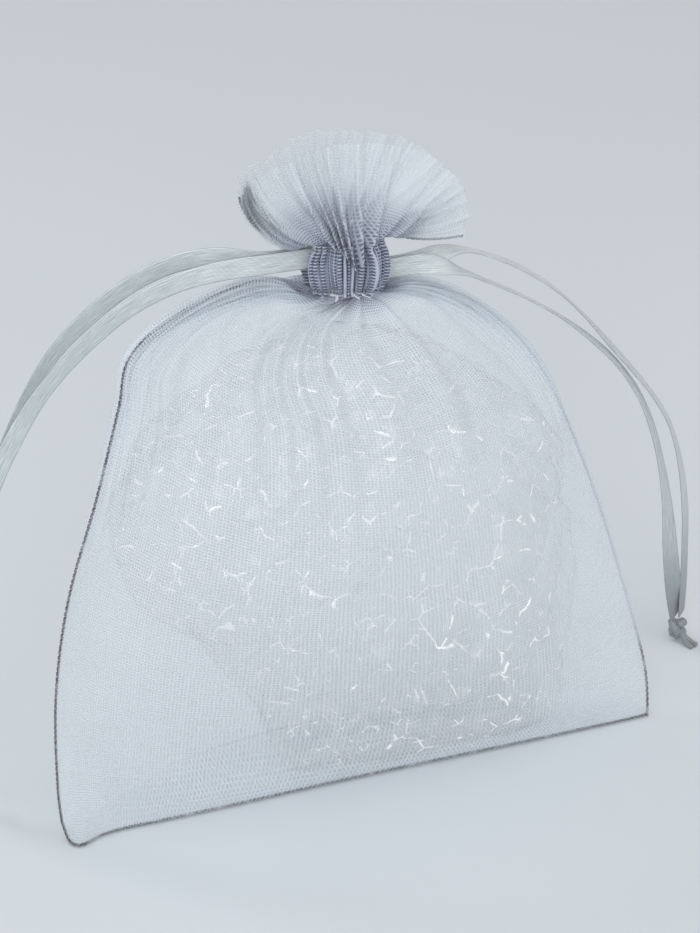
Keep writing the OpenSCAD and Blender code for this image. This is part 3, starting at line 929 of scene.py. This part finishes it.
def ribbon_material():
    """Ribbed satin, with painted shade that darkens it towards the knots on the floor."""
    nodes = Nodes("satin_ribbon_weave")
    uv = nodes.add("UVMap", uv_map="cloth").outputs["UV"]
    split = nodes.add("SeparateXYZ", {"Vector": uv})
    stretch = nodes.add("VectorMath", {0: uv, 1: (0.35, 9.0, 1.0)}, operation="MULTIPLY").outputs[0]
    fibre = nodes.add("TexNoise", {"Vector": stretch, "Scale": 1.0, "Detail": 3.0}).outputs["Fac"]
    ribs = nodes.math("SINE", nodes.math("MULTIPLY", split.outputs["Y"], 2 * math.pi / 0.17))
    edge = nodes.math("ABSOLUTE", split.outputs["Y"])
    selvedge = nodes.ramp(edge, RIBBON_W * 0.43, RIBBON_W * 0.47, 0, 1)
    picks = nodes.math("SINE", nodes.math("MULTIPLY", split.outputs["X"], 2 * math.pi / 0.3))
    tone = nodes.math("ADD", nodes.math("MULTIPLY", ribs, 0.2), fibre)
    satin = nodes.colours(nodes.ramp(tone, 0.3, 0.75, 0, 1), (0.43, 0.475, 0.485), (0.88, 0.94, 0.95))
    # Painted shade: the strands grow darker the nearer they come to the floor, and the knots are darkest.
    height = nodes.add("SeparateXYZ", {"Vector": nodes.add("TexCoord").outputs["Object"]}).outputs["Z"]
    colour = nodes.blend(nodes.ramp(height, 0.002, 0.03, 0, 1), (0.24, 0.27, 0.285, 1), satin)
    height = nodes.math("ADD", nodes.math("MULTIPLY", ribs, 0.5), fibre)
    height = nodes.math("ADD", height, nodes.math("MULTIPLY", nodes.math("MULTIPLY", picks, selvedge), 0.6))
    bump_node = nodes.add("Bump", {"Height": height, "Strength": 0.35, "Distance": 0.00008})
    nodes.set(Base_Color=colour, Normal=bump_node.outputs["Normal"])
    nodes.set(Roughness=0.3, Sheen_Weight=0.2, Anisotropic=0.55, Specular_IOR_Level=0.8)
    return nodes.material


RIGHT_SEAM_DARK = 0.009  # the right side seam has dark thread up to this height, in metres


def thread_material(name, dark_below=None):
    """Spun thread, dark all along or only below a height in metres."""
    nodes = Nodes(name)
    place = nodes.add("TexCoord").outputs["Object"]
    fuzz = nodes.add("TexNoise", {"Vector": place, "Scale": 2500.0, "Detail": 2.0}).outputs["Fac"]
    colour = nodes.colours(nodes.ramp(fuzz, 0.35, 0.65, 0, 1), (0.10, 0.095, 0.11), (0.30, 0.28, 0.31))
    worn = nodes.add("TexNoise", {"Vector": place, "Scale": 420.0, "Detail": 1.0}).outputs["Fac"]
    colour = nodes.blend(nodes.ramp(worn, 0.54, 0.68, 0, 0.7), colour, (0.50, 0.52, 0.56, 1))
    if dark_below:
        height = nodes.add("SeparateXYZ", {"Vector": place}).outputs["Z"]
        paleness = nodes.ramp(height, dark_below, dark_below + 0.006, 0, 1)
        colour = nodes.blend(paleness, colour, (0.66, 0.70, 0.75, 1))
    bump_node = nodes.add("Bump", {"Height": fuzz, "Strength": 0.4, "Distance": 0.00005})
    nodes.set(Base_Color=colour, Normal=bump_node.outputs["Normal"], Roughness=0.8)
    return nodes.material


def film_material():
    """Clear film: see-through where it faces the eye, glossy at its folds, with painted white highlights
    along short stretches of its creases.
    """
    nodes = Nodes("crinkled_film")
    place = nodes.add("TexCoord").outputs["Object"]
    bend = nodes.add("TexNoise", {"Vector": place, "Scale": 130.0, "Detail": 2.0}).outputs["Color"]
    bend = nodes.add("VectorMath", {0: bend, "Scale": 0.003}, operation="SCALE").outputs[0]
    bent = nodes.add("VectorMath", {0: place, 1: bend}, operation="ADD").outputs[0]
    cells = nodes.add("TexVoronoi", {"Vector": bent, "Scale": 210.0}, feature="DISTANCE_TO_EDGE")
    line = nodes.ramp(cells.outputs["Distance"], 0.008, 0.05, 1, 0)
    patch = nodes.add("TexNoise", {"Vector": place, "Scale": 430.0, "Detail": 1.0}).outputs["Fac"]
    # Painted highlights: short white streaks along the crease lines stand in for the film's glints, whatever
    # the light.
    painted_glints = nodes.math("MULTIPLY", line, nodes.ramp(patch, 0.5, 0.6, 0, 1))
    wrinkle = nodes.add("TexNoise", {"Vector": place, "Scale": 420.0, "Detail": 4.0}).outputs["Fac"]
    height = nodes.math("ADD", wrinkle, nodes.math("MULTIPLY", line, 0.6))
    bump_node = nodes.add("Bump", {"Height": height, "Strength": 0.4, "Distance": 0.0004})
    normal = bump_node.outputs["Normal"]
    gloss = nodes.add("LayerWeight", {"Blend": 0.33, "Normal": normal}).outputs["Fresnel"]
    share = nodes.math("ADD", nodes.math("MULTIPLY", gloss, 0.27), 0.015)
    share = nodes.math("ADD", share, nodes.math("MULTIPLY", painted_glints, 0.8), clamp=True)
    # The film is less metallic on the painted highlight streaks, so that they show white.
    metal = nodes.ramp(painted_glints, 0, 1, 0.9, 0, "LINEAR")
    nodes.set(Base_Color=(0.98, 0.99, 1.0, 1), Normal=normal, Metallic=metal, Roughness=0.14)
    clear = nodes.add("BsdfTransparent")
    film_mix = nodes.add("MixShader", {0: share, 1: clear.outputs[0], 2: nodes.shader.outputs[0]})
    nodes.tree.links.new(film_mix.outputs[0], nodes.output.inputs["Surface"])
    return nodes.material


def floor_material():
    nodes = Nodes("pale_floor")
    place = nodes.add("TexCoord").outputs["Object"]
    cloud = nodes.add("TexNoise", {"Vector": place, "Scale": 6.0, "Detail": 2.0}).outputs["Fac"]
    colour = nodes.colours(cloud, (0.68, 0.725, 0.765), (0.70, 0.745, 0.785))
    nodes.set(Base_Color=colour, Roughness=0.75)
    return nodes.material


def dress():
    organza = organza_material()
    for side in ("front", "back"):
        for part in ("panel", "channel", "ruffle"):
            cloth[side, part].data.materials.append(organza)
    satin = ribbon_material()
    for piece in ribbons.values():
        piece.data.materials.append(satin)
    spun = thread_material("spun_thread")
    pale_above = thread_material("spun_thread_pale_above", dark_below=RIGHT_SEAM_DARK)
    for piece in threads:
        right_side = piece.name == "right_side_overlock"
        piece.data.materials.append(pale_above if right_side else spun)
    film.data.materials.append(film_material())


dress()

# ---------------------------------------------------------------------------
# Stage and light
# ---------------------------------------------------------------------------


def make_floor():
    """Level disc, eight metres across."""
    turn = np.linspace(0, 2 * math.pi, 96, endpoint=False)
    radii = np.array([0.2, 40, 120, 400, 1200, 4000])
    grid = np.stack([
        radii[:, None] * np.cos(turn), radii[:, None] * np.sin(turn), np.zeros((6, 96)),
    ], axis=-1)
    floor = grid_piece("floor", grid, closed=True)
    floor.data.materials.append(floor_material())


def add_light(name, place, aim, size, power, colour=(1, 1, 1)):
    data = bpy.data.lights.new(name, "AREA")
    data.shape = "RECTANGLE"
    data.size, data.size_y = size
    data.energy = power
    data.color = colour
    light = bpy.data.objects.new(name, data)
    direction = Vector(aim) - Vector(place)
    light.location = place
    light.rotation_euler = direction.to_track_quat("-Z", "Y").to_euler()
    bpy.context.scene.collection.objects.link(light)


def make_light():
    world = bpy.data.worlds.new("soft_room")
    world.use_nodes = True
    sky = world.node_tree.nodes["Background"]
    sky.inputs["Color"].default_value = (0.96, 0.98, 1.0, 1)
    sky.inputs["Strength"].default_value = 0.56
    bpy.context.scene.world = world
    add_light("softbox", (-0.15, -0.45, 0.95), (0, 0, 0.04), (1.1, 1.1), 3.9)
    add_light("window", (-0.35, 0.5, 0.8), (0, 0, 0.04), (0.15, 0.15), 0.9)
    add_light("front_fill", (-0.45, -1.0, 0.45), (0, 0, 0.05), (0.5, 0.5), 3.2)


make_floor()
make_light()
bpy.context.scene.view_settings.view_transform = "Standard"
